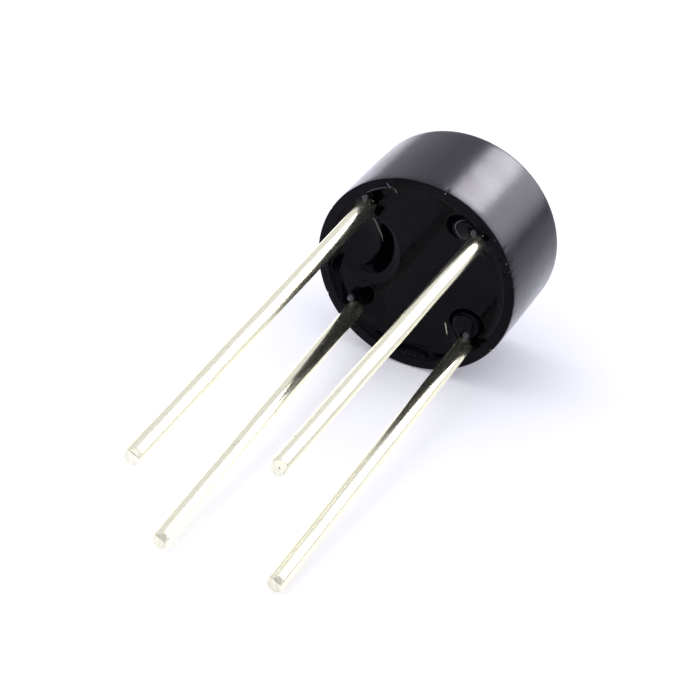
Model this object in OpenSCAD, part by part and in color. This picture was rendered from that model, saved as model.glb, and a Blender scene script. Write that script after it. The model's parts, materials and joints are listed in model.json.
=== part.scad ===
// Round bridge rectifier: a moulded cup filled with resin, four tinned wire leads, and
// four silicon dies soldered between the leads' flattened heads.
// It lies on the rim of its cup and on the tips of its two lower leads.
// Millimetres, +Z up, origin at the middle of the box it fills, on the surface below it.
//
// Each piece is drawn in the cup's own frame and laid down by lay_down(). In that frame
// z = 0 is the open rim, +Z runs to the closed end, +X points down at the surface and
// +Y is the lying part's +Y.

/* [Case] */
// Height of the cup along its axis
case_h = 5.0; // [4.6:0.1:6]
// Thickness of the cup's side wall
case_wall = 0.5; // [0.4:0.05:0.8]
// Thickness of the closed end
case_roof = 0.5; // [0.4:0.05:0.8]
// How much smaller the outer radius is at the closed end
case_draft = 0.05; // [0.02:0.01:0.15]
// Radius of the closed end's outer edge
case_edge = 0.25; // [0.1:0.05:0.35]
// Radius of the rim's outer edge
rim_edge = 0.08; // [0.04:0.02:0.14]
// Radius inside the cup between its wall and its closed end
cavity_edge = 0.3; // [0.1:0.05:0.5]

/* [Leads] */
// Side of the square on whose corners the leads stand
pitch = 5.08; // [4.9:0.02:5.4]
// Diameter of a lead
lead_d = 0.72; // [0.64:0.02:0.8]
// Length of a lead below the rim
lead_len = 18.1; // [12:0.1:28]
// Extra length of the plus lead
plus_extra = 2.0; // [0:0.1:3]
// Solder drawn along a lead's root as far as the rim, thinning out at its head
root_film = 0.015; // [0.015:0.005:0.03]
// Resin left between a lead's root and the cup's wall
lead_cover = 0.04; // [0.03:0.01:0.2]
// Depth behind the rim at which a lead is bent
bend_depth = 0.25; // [0.1:0.05:0.25]
// How far down the tips of both lower leads are bent
lower_drop = 0.16; // [0.05:0.01:0.4]
// How far down the plus lead's tip is bent
plus_drop = 0.19; // [0.05:0.01:0.4]
// How far down the upper alternating-current lead's tip is bent
upper_ac_drop = 0.05; // [0.02:0.01:0.4]
// How far aside the plus lead's tip is bent
plus_aside = 0.40; // [0.1:0.01:0.8]
// How far aside the lower alternating-current lead's tip is bent
lower_ac_aside = 0.65; // [0.1:0.01:0.8]
// How far aside the upper alternating-current lead's tip is bent
upper_ac_aside = 0.11; // [0.05:0.01:0.8]
// How far aside the minus lead's tip is bent
minus_aside = 0.38; // [0.1:0.01:0.8]

/* [Lead heads and dies] */
// Depth of the lower heads' near face behind the rim
head_depth = 2.2; // [1.8:0.1:2.5]
// Thickness of a lead's flattened head
head_t = 0.3; // [0.2:0.05:0.4]
// Width of a head's two arms
arm_w = 0.6; // [0.4:0.05:0.65]
// Diameter of the pad at the end of an arm
pad_d = 1.4; // [1.2:0.05:1.6]
// Side of a silicon die
die_w = 1.3; // [1.1:0.05:1.4]
// Thickness of a die below its mesa
die_t = 0.17; // [0.12:0.01:0.25]
// Side of the raised mesa on a die's anode
mesa_w = 1.0; // [0.8:0.05:1.05]
// Height of the mesa
mesa_t = 0.08; // [0.05:0.01:0.12]
// Thickness of a solder joint
solder_t = 0.08; // [0.05:0.01:0.12]
// Bare edge left round a solder joint
solder_margin = 0.06; // [0.02:0.01:0.1]
// Cover of the coating past a die's corners
coat_cover = 0.12; // [0.05:0.01:0.25]

/* [Resin] */
// Depth of the resin's level below the rim
fill_level = 0.4; // [0.3:0.02:0.6]
// Height to which the resin is drawn up the cup's wall
wall_creep_h = 0.3; // [0.1:0.02:0.3]
// How far from the wall that rise begins
wall_creep_run = 0.45; // [0.35:0.05:0.6]
// Height to which the resin is drawn up a lead
lead_creep_h = 0.3; // [0.1:0.02:0.3]
// How far from the lead that rise begins
lead_creep_run = 0.9; // [0.4:0.05:1.1]
// Radius of the sink between the plus lead and the lower one beside it
sink_r = 1.25; // [0.8:0.05:1.3]
// Depth of that sink
sink_depth = 0.22; // [0.05:0.01:0.3]
// Place of that sink along the cup's own X and Y
sink_x = -0.55; // [-0.8:0.05:0]
sink_y = 2.3; // [1.9:0.05:2.35]
// Radius of the run of resin on the wall by the lower rim
run_r = 0.85; // [0.6:0.05:1]
// How far below the rim that run ends
run_depth = 0.03; // [0.02:0.01:0.1]
// Distance of that run from the middle plane
run_aside = 0.45; // [0:0.05:1]

/* [Hidden] */
$fn = 72;

case_colour = "#3b3b3e";
resin_colour = "#15151a";
tin_colour = "#d8d5cb";
die_colour = "#5b6673";
solder_colour = "#a6a8ad";
coat_colour = "#e6e2d8";

// Cup sizes: its bore clears the leads, and the wall stands round it
half = pitch / 2;
lead_r = lead_d / 2;
root_r = lead_r + root_film;
cavity_r = norm([half, half]) + root_r + lead_cover;
case_r = cavity_r + case_wall;
cavity_h = case_h - case_roof;

// Outward normal of the cup's drafted side, in its half section
side_normal = [case_h, case_draft] / norm([case_h, case_draft]);
// Distances from the axis to the middles of the closed end's and the rim's edge rounds
top_edge_x = case_r - (case_edge + (case_h - case_edge) * side_normal.y) / side_normal.x;
rim_edge_x = case_r - rim_edge * (1 + side_normal.y) / side_normal.x;

// Levels of the heads and of the stack of solder, die and solder between them
low_head_z = head_depth;
stack_z = low_head_z + head_t;
full_die_t = die_t + mesa_t;
stack_h = full_die_t + 2 * solder_t;
high_head_z = stack_z + stack_h;
coat_r = norm([die_w, die_w]) / 2 + coat_cover;

// Corners of the lead square, and the middles of its sides, where the dies are
PLUS = [-1, 1];
MINUS = [1, -1];
AC_1 = [1, 1];
AC_2 = [-1, -1];
PLUS_1 = [0, 1];
PLUS_2 = [-1, 0];
MINUS_1 = [1, 0];
MINUS_2 = [0, -1];

// Bends of the leads' tips, down and aside
plus_set = [plus_drop, -plus_aside];
minus_set = [lower_drop, -minus_aside];
ac_1_set = [lower_drop, -lower_ac_aside];
ac_2_set = [upper_ac_drop, -upper_ac_aside];

// A lead's tip in the cup's frame, and the direction in which it points
function tip(corner, set, len) = [half * corner.x + set.x, half * corner.y + set.y, -len];
function heading(set, len) = let (run = [set.x, set.y, -len - bend_depth]) run / norm(run);
// How far a lead's cut end reaches past its middle in the direction dir
function end_reach(dir, axis) = lead_r * sqrt(1 - pow(dir * axis, 2));

// The lying part's tilt: the rim's rounded edge and the lower leads' tips touch one plane
tilt_run = lead_len + rim_edge;
tilt_rise = rim_edge_x - tip(AC_1, ac_1_set, lead_len).x;
tilt = atan(tilt_rise / tilt_run) - asin((lead_r - rim_edge) / norm([tilt_run, tilt_rise]));
rim_drop = rim_edge_x * cos(tilt) - rim_edge * sin(tilt) + rim_edge;

// Middle of the lying part along X, from the plus lead's tip to the closed end's edge
along = [sin(tilt), 0, cos(tilt)];
plus_len = lead_len + plus_extra;
rear_x = tip(PLUS, plus_set, plus_len) * along
    - end_reach(along, heading(plus_set, plus_len));
front_x = [top_edge_x, 0, case_h - case_edge] * along + case_edge;
middle_x = (rear_x + front_x) / 2;

module lay_down() {
    translate([-middle_x, 0, rim_drop]) rotate([0, 90 - tilt, 0]) children();
}

// Half section of the cup's outside, with rounds at the rim and at the closed end
module outer_section() {
    rim = [rim_edge_x, rim_edge];
    top = [top_edge_x, case_h - case_edge];
    polygon([
        [0, 0], [rim.x, 0], rim, rim + rim_edge * side_normal,
        top + case_edge * side_normal, top, [top.x, case_h], [0, case_h]
    ]);
    translate(rim) circle(r = rim_edge);
    translate(top) circle(r = case_edge);
}

// The space inside the cup, from `below` under the rim up to its closed end
module cavity(below) {
    rotate_extrude() {
        translate([0, -below]) square([cavity_r, cavity_h - cavity_edge + below]);
        square([cavity_r - cavity_edge, cavity_h]);
        translate([cavity_r - cavity_edge, cavity_h - cavity_edge]) circle(r = cavity_edge);
    }
}

// A lead's flattened head: two arms to the middles of the square's sides, with round pads
module head(corner, z) {
    translate([0, 0, z]) linear_extrude(head_t) {
        for (side = [[corner.x, 0], [0, corner.y]]) {
            inward = side - corner;
            translate(half * corner) rotate(atan2(inward.y, inward.x))
                translate([0, -arm_w / 2]) square([half, arm_w]);
            translate(half * side) circle(d = pad_d);
        }
    }
}

// A lead: upright in the resin with its head, then straight from its bend to its cut tip
module lead(corner, set, len, z) {
    head(corner, z);
    translate(half * [corner.x, corner.y, 0]) {
        cylinder(h = z + head_t, r1 = root_r, r2 = lead_r);
        translate([0, 0, bend_depth]) rotate([0, 0, atan2(set.y, set.x)])
            rotate([0, 180 - atan(norm(set) / (len + bend_depth)), 0])
                cylinder(h = norm([set.x, set.y, len + bend_depth]), r = lead_r);
    }
}

module all_leads() {
    lead(PLUS, plus_set, plus_len, high_head_z);
    lead(MINUS, minus_set, lead_len, high_head_z);
    lead(AC_1, ac_1_set, lead_len, low_head_z);
    lead(AC_2, ac_2_set, lead_len, low_head_z);
}

// Places its children on the lower head's pad, turned over where the anode faces up
module on_pad(side, anode_up) {
    translate([half * side.x, half * side.y, stack_z])
        if (anode_up) children();
        else translate([0, 0, stack_h]) mirror([0, 0, 1]) children();
}

// The stack is drawn with its cathode down, from the pad below it
module cathode_solder() {
    cylinder(h = solder_t, d = die_w - 2 * solder_margin);
}

module silicon() {
    translate([-die_w / 2, -die_w / 2, solder_t]) cube([die_w, die_w, die_t]);
    translate([-mesa_w / 2, -mesa_w / 2, solder_t]) cube([mesa_w, mesa_w, full_die_t]);
}

module anode_solder() {
    translate([0, 0, solder_t + full_die_t])
        cylinder(h = solder_t, d = mesa_w - 2 * solder_margin);
}

// The coating's outer form, a puck with a round side
module coat_form() {
    rotate_extrude() {
        square([coat_r - stack_h / 2, stack_h]);
        translate([coat_r - stack_h / 2, stack_h / 2]) intersection() {
            circle(r = stack_h / 2);
            translate([0, -stack_h / 2]) square([stack_h / 2, stack_h]);
        }
    }
}

module coat() {
    difference() {
        coat_form();
        cathode_solder();
        silicon();
        anode_solder();
    }
}

// Half section of resin drawn up to the height h in a concave arc that is `run` wide;
// behind the arc it goes on for `back`, into what the resin clings to
module creep_section(h, run, back) {
    arc_r = (pow(run, 2) + pow(h, 2)) / (2 * h);
    difference() {
        translate([-back, -h]) square([back + run, 2 * h]);
        translate([run, arc_r]) circle(r = arc_r);
    }
}

// The resin's free surface faces the rim: level, with a sink, and drawn up every wall
module resin_form() {
    sink_ball = (pow(sink_r, 2) + pow(sink_depth, 2)) / (2 * sink_depth);
    difference() {
        translate([0, 0, fill_level]) cylinder(h = case_h, r = case_r);
        translate([sink_x, sink_y, fill_level + sink_depth - sink_ball])
            sphere(r = sink_ball, $fn = 144);
    }
    translate([0, 0, fill_level]) mirror([0, 0, 1]) rotate_extrude()
        translate([cavity_r, 0]) mirror([1, 0])
            creep_section(wall_creep_h, wall_creep_run, case_wall);
    for (corner = [PLUS, MINUS, AC_1, AC_2])
        translate([half * corner.x, half * corner.y, fill_level]) mirror([0, 0, 1])
            rotate_extrude() translate([root_r, 0])
                creep_section(lead_creep_h, lead_creep_run, root_r);
    translate([cavity_r + run_r / 4, -run_aside, run_depth + run_r]) sphere(r = run_r);
}

module potting_body() {
    difference() {
        intersection() {
            cavity(0);
            resin_form();
        }
        all_leads();
        on_pad(PLUS_1, false) coat_form();
        on_pad(PLUS_2, false) coat_form();
        on_pad(MINUS_1, true) coat_form();
        on_pad(MINUS_2, true) coat_form();
    }
}

module case() {
    color(case_colour) lay_down() difference() {
        rotate_extrude() outer_section();
        cavity(case_h);
    }
}

module potting() { color(resin_colour) lay_down() potting_body(); }

module lead_plus() { color(tin_colour) lay_down() lead(PLUS, plus_set, plus_len, high_head_z); }
module lead_minus() { color(tin_colour) lay_down() lead(MINUS, minus_set, lead_len, high_head_z); }
module lead_ac_1() { color(tin_colour) lay_down() lead(AC_1, ac_1_set, lead_len, low_head_z); }
module lead_ac_2() { color(tin_colour) lay_down() lead(AC_2, ac_2_set, lead_len, low_head_z); }

module die_plus_1() { color(die_colour) lay_down() on_pad(PLUS_1, false) silicon(); }
module die_plus_2() { color(die_colour) lay_down() on_pad(PLUS_2, false) silicon(); }
module die_minus_1() { color(die_colour) lay_down() on_pad(MINUS_1, true) silicon(); }
module die_minus_2() { color(die_colour) lay_down() on_pad(MINUS_2, true) silicon(); }

// Under a plus head the cathode is the upper joint, and under the minus head the anode is
module solder_plus_1_upper() { color(solder_colour) lay_down() on_pad(PLUS_1, false) cathode_solder(); }
module solder_plus_1_lower() { color(solder_colour) lay_down() on_pad(PLUS_1, false) anode_solder(); }
module solder_plus_2_upper() { color(solder_colour) lay_down() on_pad(PLUS_2, false) cathode_solder(); }
module solder_plus_2_lower() { color(solder_colour) lay_down() on_pad(PLUS_2, false) anode_solder(); }
module solder_minus_1_upper() { color(solder_colour) lay_down() on_pad(MINUS_1, true) anode_solder(); }
module solder_minus_1_lower() { color(solder_colour) lay_down() on_pad(MINUS_1, true) cathode_solder(); }
module solder_minus_2_upper() { color(solder_colour) lay_down() on_pad(MINUS_2, true) anode_solder(); }
module solder_minus_2_lower() { color(solder_colour) lay_down() on_pad(MINUS_2, true) cathode_solder(); }

module coat_plus_1() { color(coat_colour) lay_down() on_pad(PLUS_1, false) coat(); }
module coat_plus_2() { color(coat_colour) lay_down() on_pad(PLUS_2, false) coat(); }
module coat_minus_1() { color(coat_colour) lay_down() on_pad(MINUS_1, true) coat(); }
module coat_minus_2() { color(coat_colour) lay_down() on_pad(MINUS_2, true) coat(); }

case();
potting();
lead_plus();
lead_minus();
lead_ac_1();
lead_ac_2();
die_plus_1();
die_plus_2();
die_minus_1();
die_minus_2();
solder_plus_1_upper();
solder_plus_1_lower();
solder_plus_2_upper();
solder_plus_2_lower();
solder_minus_1_upper();
solder_minus_1_lower();
solder_minus_2_upper();
solder_minus_2_lower();
coat_plus_1();
coat_plus_2();
coat_minus_1();
coat_minus_2();
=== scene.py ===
import json
import math
import bpy
import numpy as np
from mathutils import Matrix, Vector


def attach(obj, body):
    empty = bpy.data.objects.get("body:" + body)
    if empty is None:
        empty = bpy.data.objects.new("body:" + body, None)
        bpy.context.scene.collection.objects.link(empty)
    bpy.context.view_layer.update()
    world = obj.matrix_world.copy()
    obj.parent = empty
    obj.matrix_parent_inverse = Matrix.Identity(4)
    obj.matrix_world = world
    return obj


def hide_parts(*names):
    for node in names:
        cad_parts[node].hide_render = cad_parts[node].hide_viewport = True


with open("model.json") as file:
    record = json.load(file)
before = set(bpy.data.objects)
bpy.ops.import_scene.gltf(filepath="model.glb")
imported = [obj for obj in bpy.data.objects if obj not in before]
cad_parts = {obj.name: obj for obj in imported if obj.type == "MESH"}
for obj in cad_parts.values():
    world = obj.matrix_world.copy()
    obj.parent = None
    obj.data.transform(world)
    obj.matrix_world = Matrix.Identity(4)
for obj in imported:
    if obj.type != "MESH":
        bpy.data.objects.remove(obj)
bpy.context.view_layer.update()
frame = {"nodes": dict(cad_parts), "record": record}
mounts = {m["name"]: m for m in frame["record"]["mounts"]}
millimetre = 0.001  # in metres
perMetre = 1000.0  # millimetres

# Shapes below are in millimetres in the cup's own axes: right and low lie in the rim's plane,
# and depth runs from the rim to the closed end. Angles round the cup: 0 is right, 90 is low.
cup = dict(
    height=5.0, outerRadius=4.5022, boreRadius=4.0071, roof=0.5, draft=0.05,
    endRound=0.25, rimRound=0.08, boreRound=0.3, boreLip=0.035, segments=360,
    rimWobble=0.012, boreWobble=0.02, rimRipple=0.014, barrel=0.022, seeds=(11, 12, 13),
    # where each unevenness starts and is full, as a depth or a radius
    rimFade=(0.02, 0.30), outerZone=(4.25, 4.42), innerZone=(4.04, 4.2), rimZone=(3.95, 4.05),
    barrelZone=(4.25, 4.40),
    # nicks in the outer edge of the rim: angle, half width in degrees, depth
    nicks=[
        (-27.0, 1.6, 0.05), (-18.0, 1.2, 0.06), (-22.0, 0.7, 0.04), (-12.0, 1.0, 0.04), (-34.0, 1.0, 0.03),
        (3.0, 0.8, 0.03), (33.0, 1.8, 0.04), (-78.0, 0.9, 0.03), (-112.0, 2.2, 0.03), (150.0, 1.3, 0.04),
        (205.0, 1.0, 0.03),
    ],
)
depthAxis = Vector(mounts["top"]["axis"]).normalized()
rightAxis = Vector((0.0, -1.0, 0.0))
lowAxis = depthAxis.cross(rightAxis)
rimCentre = Vector(mounts["top"]["pos_m"]) - depthAxis * cup["height"] * millimetre
print("frame loaded, rim centre", [round(v * perMetre, 3) for v in rimCentre])


def toFrame(points):
    # from the cup's axes in millimetres to metres in the shared frame
    points = np.asarray(points, float).reshape(-1, 3)
    axes = np.array([rightAxis, lowAxis, depthAxis])
    return np.array(rimCentre) + millimetre * points @ axes


def smoothStep(low, high, value):
    t = np.clip((np.asarray(value, float) - low) / (high - low), 0.0, 1.0)
    return t * t * (3.0 - 2.0 * t)


def softNoise(x, y, seed, waves=5):
    # a few slow sine waves in seeded directions, between about -1 and 1
    rng = np.random.default_rng(seed)
    total = np.zeros_like(np.asarray(x, float))
    for _ in range(waves):
        angle = rng.uniform(0, 2 * math.pi)
        phase = rng.uniform(0, 2 * math.pi)
        pitch = rng.uniform(0.7, 1.9)
        total = total + np.sin(pitch * (x * math.cos(angle) + y * math.sin(angle)) + phase)
    return total / waves


def arcPoints(centre, radius, fromAngle, toAngle, count):
    angles = np.radians(np.linspace(fromAngle, toAngle, count))
    return [(centre[0] + radius * math.cos(a), centre[1] + radius * math.sin(a)) for a in angles]


def gridFaces(rows, turns):
    # quads between neighbouring rings of points
    faces = []
    for j in range(turns):
        k = (j + 1) % turns
        for i in range(rows - 1):
            a, b = i * turns, (i + 1) * turns
            faces.append((a + j, a + k, b + k, b + j))
    return faces


def closedFaces(rows, turns, firstPole, lastPole):
    # the same, with a fan from a pole at each end
    faces = gridFaces(rows, turns)
    last = (rows - 1) * turns
    for j in range(turns):
        k = (j + 1) % turns
        faces.append((firstPole, k, j))
        faces.append((lastPole, last + j, last + k))
    return faces


def flipped(faces):
    return [face[::-1] for face in faces]


def addPiece(name, points, faces, materials, standsFor=(), sharpAngle=60.0, faceMaterials=None):
    mesh = bpy.data.meshes.new(name)
    mesh.from_pydata([tuple(p) for p in toFrame(points)], [], [tuple(int(i) for i in f) for f in faces])
    mesh.update()
    piece = bpy.data.objects.new(name, mesh)
    bpy.context.scene.collection.objects.link(piece)
    for material in materials:
        mesh.materials.append(material)
    if faceMaterials is not None:
        mesh.polygons.foreach_set("material_index", np.asarray(faceMaterials, np.int32))
    mesh.polygons.foreach_set("use_smooth", np.ones(len(mesh.polygons), bool))
    mesh.set_sharp_from_angle(angle=math.radians(sharpAngle))
    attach(piece, "root")
    if standsFor:
        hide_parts(*standsFor)
    return piece


def newMaterial(name):
    material = bpy.data.materials.new(name)
    material.use_nodes = True
    tree = material.node_tree
    tree.nodes.clear()
    out = tree.nodes.new("ShaderNodeOutputMaterial")
    shader = tree.nodes.new("ShaderNodeBsdfPrincipled")
    tree.links.new(shader.outputs["BSDF"], out.inputs["Surface"])
    return material, tree, shader


def addNode(tree, kind, settings=None, **inputs):
    # inputs go by the socket's name, or by its number as i0, i1 and so on
    node = tree.nodes.new(kind)
    for key, value in (settings or {}).items():
        setattr(node, key, value)
    for key, value in inputs.items():
        socket = node.inputs[int(key[1:])] if key[0] == "i" and key[1:].isdigit() else node.inputs[key]
        if isinstance(value, bpy.types.NodeSocket):
            tree.links.new(value, socket)
        else:
            socket.default_value = value
    return node


def maths(tree, operation, a, b=0.0):
    return addNode(tree, "ShaderNodeMath", dict(operation=operation), i0=a, i1=b).outputs[0]


def times(tree, a, b):
    return maths(tree, "MULTIPLY", a, b)


def plus(tree, a, b):
    return maths(tree, "ADD", a, b)


def remap(tree, value, fromLow, fromHigh, toLow, toHigh, kind="LINEAR"):
    node = addNode(
        tree, "ShaderNodeMapRange", dict(interpolation_type=kind, clamp=True),
        i0=value, i1=fromLow, i2=fromHigh, i3=toLow, i4=toHigh)
    return node.outputs[0]


def mixColours(tree, factor, a, b):
    return addNode(tree, "ShaderNodeMix", dict(data_type="RGBA"), i0=factor, i6=a, i7=b).outputs[2]


def mixValues(tree, factor, a, b):
    return addNode(tree, "ShaderNodeMix", dict(data_type="FLOAT"), i0=factor, i2=a, i3=b).outputs[0]


def vectorMaths(tree, operation, a, b):
    return addNode(tree, "ShaderNodeVectorMath", dict(operation=operation), i0=a, i1=b)


def noise(tree, vector, scale, detail=3.0, roughness=0.55, distortion=0.0):
    node = addNode(
        tree, "ShaderNodeTexNoise", None,
        Vector=vector, Scale=scale, Detail=detail, Roughness=roughness, Distortion=distortion)
    return node.outputs[0]


def cells(tree, vector, scale):
    return addNode(tree, "ShaderNodeTexVoronoi", None, Vector=vector, Scale=scale).outputs["Distance"]


def bump(tree, height, strength, distance, normal=None):
    node = addNode(tree, "ShaderNodeBump", None, Height=height, Strength=strength, Distance=distance)
    if normal is not None:
        tree.links.new(normal, node.inputs["Normal"])
    return node.outputs[0]


def colour(red, green, blue):
    return (red, green, blue, 1.0)


def inMillimetres(tree, stretch=(1.0, 1.0, 1.0)):
    coords = addNode(tree, "ShaderNodeTexCoord").outputs["Object"]
    scale = tuple(perMetre * s for s in stretch)
    mapping = addNode(tree, "ShaderNodeMapping", dict(vector_type="POINT"), Vector=coords, Scale=scale)
    return mapping.outputs[0]


def inCup(tree):
    # the place in the cup's axes, its depth and its radius, in millimetres
    coords = addNode(tree, "ShaderNodeTexCoord").outputs["Object"]
    moved = vectorMaths(tree, "SUBTRACT", coords, tuple(rimCentre)).outputs[0]
    parts = []
    for axis in (rightAxis, lowAxis, depthAxis):
        scaled = tuple(perMetre * v for v in axis)
        parts.append(vectorMaths(tree, "DOT_PRODUCT", moved, scaled).outputs["Value"])
    right, low, depth = parts
    radius = maths(tree, "SQRT", plus(tree, times(tree, right, right), times(tree, low, low)))
    vector = addNode(tree, "ShaderNodeCombineXYZ", X=right, Y=low, Z=depth).outputs[0]
    return vector, depth, radius


def applyFinish(tree, shader, base, rough, normal):
    tree.links.new(base, shader.inputs["Base Color"])
    tree.links.new(rough, shader.inputs["Roughness"])
    tree.links.new(normal, shader.inputs["Normal"])


casePlastic = dict(
    dark=colour(0.0070, 0.0064, 0.0084), pale=colour(0.0105, 0.0096, 0.0126),
    worn=colour(0.050, 0.044, 0.045), gloss=colour(0.955, 0.925, 1.0),
    ior=1.37, roughness=0.23, speckShare=0.55, edgeShare=0.5,
    cloudScale=0.55, grainScale=9.0, speckScale=3.2, rubbedScale=2.6, waveScale=1.1,
    # where the rubbed edges lie: depth at the rim, radius of the side, both added at the closed end
    rimBand=(0.0, 0.10), sideBand=(4.40, 4.48), endBand=(9.28, 9.40),
)
# the rim's face: a darker, rougher copy of the case plastic, its darker colours painted shade
rimPlasticShaded = dict(
    casePlastic,
    dark=colour(0.0026, 0.0024, 0.0033), pale=colour(0.0055, 0.0050, 0.0066),
    worn=colour(0.034, 0.031, 0.036), ior=1.135, roughness=0.32,
)


def makeCaseMaterial(name, look):
    material, tree, shader = newMaterial(name)
    vector, depth, radius = inCup(tree)
    cloud = noise(tree, vector, look["cloudScale"], 4.0)
    grain = noise(tree, vector, look["grainScale"], 3.0)
    base = mixColours(tree, remap(tree, cloud, 0.35, 0.65, 0.0, 1.0), look["dark"], look["pale"])
    nearSpeck = remap(tree, cells(tree, vector, look["speckScale"]), 0.035, 0.075, 1.0, 0.0)
    speck = times(tree, nearSpeck, remap(tree, grain, 0.45, 0.6, 0.0, 1.0))
    base = mixColours(tree, times(tree, speck, look["speckShare"]), base, look["worn"])
    # rubbed line along both outer edges
    rimEdge = remap(tree, depth, *look["rimBand"], 1.0, 0.0)
    sideEdge = remap(tree, radius, *look["sideBand"], 0.0, 1.0)
    endEdge = remap(tree, plus(tree, depth, radius), *look["endBand"], 0.0, 1.0)
    edge = maths(tree, "MAXIMUM", times(tree, rimEdge, sideEdge), endEdge)
    rubbed = remap(tree, noise(tree, vector, look["rubbedScale"], 5.0), 0.42, 0.62, 0.15, 0.9)
    edge = times(tree, edge, rubbed)
    base = mixColours(tree, times(tree, edge, look["edgeShare"]), base, look["worn"])
    rough = plus(tree, remap(tree, cloud, 0.3, 0.7, -0.03, 0.04), look["roughness"])
    rough = plus(tree, rough, times(tree, speck, 0.15))
    shader.inputs["IOR"].default_value = look["ior"]
    shader.inputs["Specular Tint"].default_value = look["gloss"]
    fine = bump(tree, grain, 0.10, 0.00002)
    wavy = bump(tree, noise(tree, vector, look["waveScale"], 2.0), 0.10, 0.0001, fine)
    applyFinish(tree, shader, base, rough, wavy)
    return material


resinGloss = dict(
    deep=colour(0.0008, 0.0008, 0.0018), milky=colour(0.0022, 0.0021, 0.0042), dust=colour(0.14, 0.12, 0.085),
    ior=1.147, roughness=0.080, dustShare=0.6,
    cloudScale=0.42, dustScale=2.3, patchScale=1.2, unevenScale=1.7, waveScale=2.2,
)


def makeResinMaterial():
    material, tree, shader = newMaterial("glossyCastingResin")
    vector = inCup(tree)[0]
    cloud = noise(tree, vector, resinGloss["cloudScale"], 3.0)
    base = mixColours(tree, remap(tree, cloud, 0.35, 0.7, 0.0, 1.0), resinGloss["deep"], resinGloss["milky"])
    nearSpeck = remap(tree, cells(tree, vector, resinGloss["dustScale"]), 0.018, 0.04, 1.0, 0.0)
    patches = remap(tree, noise(tree, vector, resinGloss["patchScale"]), 0.5, 0.56, 0.0, 1.0)
    dust = times(tree, nearSpeck, patches)
    base = mixColours(tree, times(tree, dust, resinGloss["dustShare"]), base, resinGloss["dust"])
    uneven = remap(tree, noise(tree, vector, resinGloss["unevenScale"], 4.0), 0.3, 0.7, -0.02, 0.035)
    rough = plus(tree, plus(tree, uneven, resinGloss["roughness"]), times(tree, dust, 0.3))
    shader.inputs["IOR"].default_value = resinGloss["ior"]
    wavy = bump(tree, noise(tree, vector, resinGloss["waveScale"], 2.0), 0.06, 0.0001)
    applyFinish(tree, shader, base, rough, wavy)
    return material


tinPlate = dict(
    bright=colour(0.97, 0.94, 0.735), dull=colour(0.90, 0.86, 0.63), grime=colour(0.32, 0.28, 0.20),
    edge=colour(1.0, 0.975, 0.84), metallic=0.975, roughness=0.21, grimeShare=0.75,
    # streaks are drawn out along the wire, flecks of grime a little
    streakStretch=(0.55, 7.0, 7.0), streakScale=1.0, fleckStretch=(0.8, 1.6, 1.6), fleckScale=1.3,
    mottleScale=3.4,
)


def makeTinMaterial():
    material, tree, shader = newMaterial("drawnTinPlate")
    streak = noise(tree, inMillimetres(tree, tinPlate["streakStretch"]), tinPlate["streakScale"], 5.0, 0.6)
    mottle = noise(tree, inMillimetres(tree), tinPlate["mottleScale"], 4.0, 0.6, 0.4)
    base = mixColours(tree, remap(tree, mottle, 0.42, 0.72, 0.0, 0.7), tinPlate["bright"], tinPlate["dull"])
    flecks = cells(tree, inMillimetres(tree, tinPlate["fleckStretch"]), tinPlate["fleckScale"])
    nearFleck = remap(tree, flecks, 0.06, 0.16, 1.0, 0.0)
    grime = times(tree, nearFleck, remap(tree, mottle, 0.5, 0.6, 0.0, 1.0))
    base = mixColours(tree, times(tree, grime, tinPlate["grimeShare"]), base, tinPlate["grime"])
    rough = plus(tree, remap(tree, streak, 0.3, 0.7, -0.05, 0.08), tinPlate["roughness"])
    rough = plus(tree, rough, times(tree, grime, 0.25))
    shader.inputs["Metallic"].default_value = tinPlate["metallic"]
    shader.inputs["Specular Tint"].default_value = tinPlate["edge"]
    drawn = bump(tree, streak, 0.08, 0.00003)
    applyFinish(tree, shader, base, rough, bump(tree, mottle, 0.045, 0.00005, drawn))
    return material


cutFace = dict(
    pale=colour(0.95, 0.92, 0.77), shade=colour(0.74, 0.70, 0.55), metallic=0.30, roughness=0.42,
    lineStretch=(1.0, 9.0, 2.5), lineScale=1.4,
)


def makeCutMaterial():
    material, tree, shader = newMaterial("shearedWireEnd")
    lines = noise(tree, inMillimetres(tree, cutFace["lineStretch"]), cutFace["lineScale"], 4.0)
    base = mixColours(tree, remap(tree, lines, 0.35, 0.7, 0.0, 0.8), cutFace["pale"], cutFace["shade"])
    rough = plus(tree, remap(tree, lines, 0.3, 0.7, -0.06, 0.1), cutFace["roughness"])
    shader.inputs["Metallic"].default_value = cutFace["metallic"]
    applyFinish(tree, shader, base, rough, bump(tree, lines, 0.3, 0.00003))
    return material


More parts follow.
